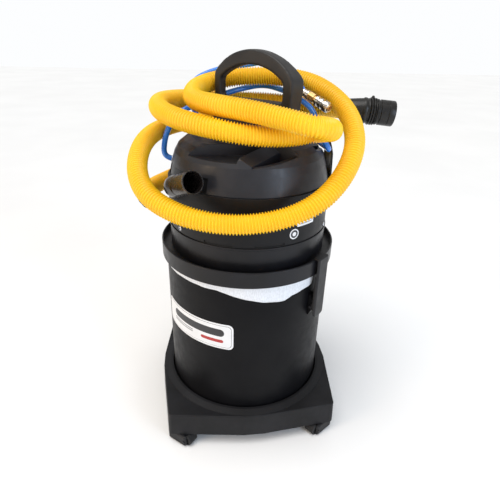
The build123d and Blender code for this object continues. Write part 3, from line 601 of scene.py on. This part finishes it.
def screw(name, place, outward, radius, slot, body, height=0.0026, replaced=()):
    """A domed head with a round socket."""
    dome = [(0, radius), (height * 0.45, radius), (height * 0.8, radius * 0.86), (height, radius * 0.6),
            (height, radius * 0.44), (height * 0.35, radius * 0.42), (height * 0.35, 0.0001), (0, 0.0001)]
    return lathe(name, place, outward, dome, slot, body, replaced, segments=36)


HEAD_SCREW_ANGLES = (-148.8, -28.8, 91.2)
HEAD_SCREW_Z = 0.516
HOOK_SCREW_ANGLES = (-8, 6)
HOOK_SCREW_Z = 0.575
HOOK_PLATE = 4 * MM
INLET_ANGLE, INLET_Z = 80, 0.320
INLET_FLANGE = 7.5 * MM
INLET_SCREW_SPACING = 70 * MM


def screws():
    for k, angle in enumerate(HEAD_SCREW_ANGLES):
        place = polar(NECK_R + 0.1 * MM, angle, HEAD_SCREW_Z)
        screw(f"head_screw_{k + 1}", place, polar(1, angle), 5 * MM, "steel", "head", replaced=["head_screws"])
    for k, angle in enumerate(HOOK_SCREW_ANGLES):
        place = polar(NECK_R + HOOK_PLATE, angle, HOOK_SCREW_Z)
        screw(f"hook_screw_{k + 1}", place, polar(1, angle), 4.5 * MM, "steel", "head", replaced=["hook_screws"])
    outward, across = polar(1, INLET_ANGLE), polar(1, INLET_ANGLE + 90)
    face = outward * (DRUM_R + INLET_FLANGE) + Vector((0, 0, INLET_Z))
    for k, (side, lift) in enumerate(((-1, -1), (-1, 1), (1, -1), (1, 1))):
        place = face + (across * side + Vector((0, 0, lift))) * INLET_SCREW_SPACING / 2
        screw(f"inlet_screw_{k + 1}", place, outward, 4.5 * MM, "steel", "base", replaced=["inlet_screws"])


exhaust_elbow()
screws()
for corner in ("front_left", "front_right", "rear_right", "rear_left"):
    castor_wheel(corner)
    hood, fork = f"castor_{corner}_hood", f"castor_{corner}_fork"
    softened(hood, fork, 1.0 * MM, 3, "castor_plastic", f"castor_{corner}")
softened("carry_handle_moulded", "carry_handle", 1.8 * MM, 45, "handle_plastic", "head")
for end in ("front", "rear"):
    softened(f"latch_{end}_moulded", f"latch_{end}", 1.0 * MM, 4, "latch_plastic", f"latch_{end}")

# ---------------------------------------------------------------- filter cloth

CUFF_EDGE = [  # angle and height of the cloth's lower edge outside the drum
    (-180, 0.4385), (-163, 0.4385), (-158, 0.412), (-115, 0.410), (-110, 0.406), (-104, 0.400), (-94, 0.393),
    (-85, 0.387), (-75, 0.383), (-71, 0.3835), (-66, 0.391), (-59, 0.3965), (-52, 0.398), (-48.5, 0.402),
    (-46.5, 0.4385), (180, 0.4385),
]


def filter_cloth():
    """One cloth: the bag hangs inside the drum, lies over its edge and shows below the collar."""
    around = 360
    outside, top, neck, bottom, floor = 0.1914, 0.4411, 0.166, 0.1135, 0.2615
    rows = []
    angles = [360 * k / around - 180 for k in range(around)]
    low = np.interp(angles, [a for a, _ in CUFF_EDGE], [z for _, z in CUFF_EDGE])
    for k, angle in enumerate(angles):
        column = []
        drop = top - 0.001 - low[k]
        for s in np.linspace(1, 0, 14):
            wave = 0.0007 * math.sin(math.radians(angle * 11)) * s * min(drop / 0.03, 1)
            wave += 0.0005 * math.sin(math.radians(angle * 29 + 70)) * s * s
            column.append(polar(outside + max(wave, -0.0004), angle, top - 0.001 - drop * s))
        column.append(polar(outside - 0.001, angle, top))
        column.append(polar((outside + neck) / 2, angle, top))
        column.append(polar(neck, angle, top - 0.0005))
        for s in np.linspace(0.05, 1, 24):
            radius = neck + (bottom - neck) * s
            radius += 0.0022 * math.cos(math.radians(angle * 18)) * min(s * 4, 1) - 0.001
            column.append(polar(radius, angle, top - (top - floor) * s))
        for s in (0.9, 0.7, 0.45, 0.2):
            column.append(polar(bottom * s, angle, floor - 0.0006 * (1 - s)))
        rows.append(column)
    count = len(rows[0])
    verts = [p for column in rows for p in column] + [Vector((0, 0, floor - 0.0006))]
    faces = []
    for k in range(around):
        n = (k + 1) % around
        for i in range(count - 1):
            faces.append((k * count + i, n * count + i, n * count + i + 1, k * count + i + 1))
        faces.append((k * count + count - 1, n * count + count - 1, len(verts) - 1))
    cloth_piece = make_piece("filter_bag_cloth", verts, faces, "filter_cloth", "base", ["filter_bag"],
                             smooth_angle=180)
    skin = cloth_piece.modifiers.new("skin", "SOLIDIFY")
    skin.thickness = 0.0006


filter_cloth()

# ---------------------------------------------------------------- labels


def plate(name, radius, middle, z, width, height, corner, slot, body, thickness=0.0004, replaced=(),
          material=None):
    """A rounded plate wrapped round a cylinder about Z; width runs along the arc."""
    corner = min(corner, width / 2, height / 2)
    bends = [corner * (1 - math.cos(math.radians(t))) for t in range(0, 91, 9)]
    flat = [corner + (width - 2 * corner) * t / 24 for t in range(1, 24)]
    spots = bends + flat + [width - b for b in reversed(bends)]
    verts = []
    for s in spots:
        near = min(s, width - s)
        inset = corner - math.sqrt(max(corner**2 - (corner - near) ** 2, 0)) if near < corner else 0.0
        angle = middle + math.degrees((s - width / 2) / radius)
        for r in (radius, radius + thickness):
            for side in (-1, 1):
                verts.append(polar(r, angle, z + side * (height / 2 - inset)))
    faces = []
    for i in range(len(spots) - 1):
        a, b = 4 * i, 4 * i + 4
        for p, q in ((0, 1), (1, 3), (3, 2), (2, 0)):
            faces.append((a + p, b + p, b + q, a + q))
    last = 4 * (len(spots) - 1)
    faces += [(0, 1, 3, 2), (last, last + 2, last + 3, last + 1)]
    return make_piece(name, verts, faces, slot, body, replaced, material)


def drum_label():
    middle, z = -135.5, 0.293
    width, height = math.radians(62.5) * DRUM_R, 0.066
    plate("drum_label_film", DRUM_R + 0.0002, middle, z, width, height, 0.012, "label_film", "base", 0.0004,
          ["drum_label"])
    outer = DRUM_R + 0.0006
    border = (("drum_label_line", 0.0, INK_DARK), ("drum_label_field", 0.0014, MATERIALS["label_film"]))
    for name, inset, ink in border:
        plate(name, outer + inset * 0.1, middle, z, width - 0.008 - inset, height - 0.008 - inset, 0.009,
              "label_film", "base", 0.00012, (), ink)
    bars = [(2.5, 9.0, 0.150, 0.019, INK_DARK), (-10.0, -7.0, 0.070, 0.0026, INK_GREY),
            (-10.0, -12.0, 0.070, 0.0026, INK_GREY), (16.0, -13.0, 0.056, 0.008, INK_RED)]
    for k, (turn, lift, length, tall, ink) in enumerate(bars):
        plate(f"drum_label_bar_{k + 1}", outer + 0.0003, middle + turn, z + lift * MM, length, tall, tall / 2,
              "label_film", "base", 0.00012, (), ink)


def head_plates():
    """A silvery rating plate with three plain bars, and a round badge with a plain ring."""
    angle, z = -55.5, 0.554
    plate("rating_plate_film", NECK_R + 0.1 * MM, angle, z, math.radians(15) * NECK_R, 0.024, 0.0012,
          "badge_film", "head", 0.0004, ["rating_plate"])
    for k, (lift, tall) in enumerate(((6, 5), (-2, 2.2), (-7, 2.2))):
        plate(f"rating_plate_bar_{k + 1}", NECK_R + 0.5 * MM, angle, z + lift * MM, 0.036, tall * MM,
              tall / 2 * MM, "badge_film", "head", 0.0001, (), INK_GREY)
    rings = (("round_badge_film", 22, 0.1, None), ("round_badge_ring", 17, 0.45, INK_DARK),
             ("round_badge_middle", 9, 0.6, MATERIALS["badge_film"]))
    for name, size, lift, ink in rings:
        plate(name, NECK_R + lift * MM, -65, 0.528, size * MM, size * MM, size / 2 * MM, "badge_film", "head",
              0.0003 if ink is None else 0.0001, ["round_badge"] if ink is None else (), ink)


drum_label()
head_plates()

# ---------------------------------------------------------------- camera, light and floor


def camera():
    data = bpy.data.cameras.new("camera")
    data.lens = 30.635
    data.sensor_width = 36
    obj = bpy.data.objects.new("camera", data)
    bpy.context.scene.collection.objects.link(obj)
    aim = Matrix.Rotation(math.radians(-7.256), 4, "Z") @ Matrix.Rotation(math.radians(90 - 26.707), 4, "X")
    aim = aim @ Matrix.Rotation(math.radians(1.557), 4, "Z")
    obj.matrix_world = Matrix.Translation((-0.1097, -0.9202, 0.8800)) @ aim
    bpy.context.scene.camera = obj


def area_light(name, place, target, size, power, colour):
    data = bpy.data.lights.new(name, "AREA")
    data.shape = "RECTANGLE"
    data.size, data.size_y = size
    data.energy = power
    data.color = colour
    obj = bpy.data.objects.new(name, data)
    bpy.context.scene.collection.objects.link(obj)
    aim = (Vector(target) - Vector(place)).to_track_quat("-Z", "Y").to_matrix().to_4x4()
    obj.matrix_world = Matrix.Translation(place) @ aim


def studio():
    floor = make_floor()
    world = bpy.data.worlds.new("studio")
    bpy.context.scene.world = world
    world.use_nodes = True
    tree = world.node_tree
    background = tree.nodes["Background"]
    background.inputs["Color"].default_value = (0.98, 0.99, 1.0, 1)
    path = tree.nodes.new("ShaderNodeLightPath")
    seen = ranged(tree, path.outputs["Is Camera Ray"], 0.62, 1.0, 0, 1)
    tree.links.new(seen, background.inputs["Strength"])
    sun = bpy.data.lights.new("overhead", "SUN")
    sun.energy = 1.75
    sun.angle = math.radians(45)
    sun.color = (1.0, 0.99, 0.97)
    high = bpy.data.objects.new("overhead", sun)
    high.matrix_world = Vector((-0.25, -0.15, 1)).to_track_quat("Z", "Y").to_matrix().to_4x4()
    bpy.context.scene.collection.objects.link(high)
    area_light("window", (1.45, -1.9, 1.2), (0, 0, 0.4), (0.7, 1.4), 20, (0.66, 0.80, 1.0))
    area_light("fill", (-1.9, -1.0, 0.9), (0, 0, 0.4), (0.6, 1.6), 14, (1.0, 0.74, 0.48))
    bpy.context.scene.view_settings.view_transform = "Standard"


def make_floor():
    material, tree, shader = new_material("pale_floor")
    tree.links.new(two_tone(tree, object_noise(tree, 1.5), (0.84, 0.84, 0.84), (0.87, 0.87, 0.87)),
                   shader.inputs["Base Color"])
    shader.inputs["Roughness"].default_value = 0.8
    shader.inputs["Specular IOR Level"].default_value = 0.1
    mesh = bpy.data.meshes.new("floor")
    reach = 12.0
    mesh.from_pydata([(-reach, -reach, 0), (reach, -reach, 0), (reach, reach, 0), (-reach, reach, 0)], [],
                     [(0, 1, 2, 3)])
    mesh.materials.append(material)
    obj = bpy.data.objects.new("floor", mesh)
    bpy.context.scene.collection.objects.link(obj)
    return obj


camera()
studio()
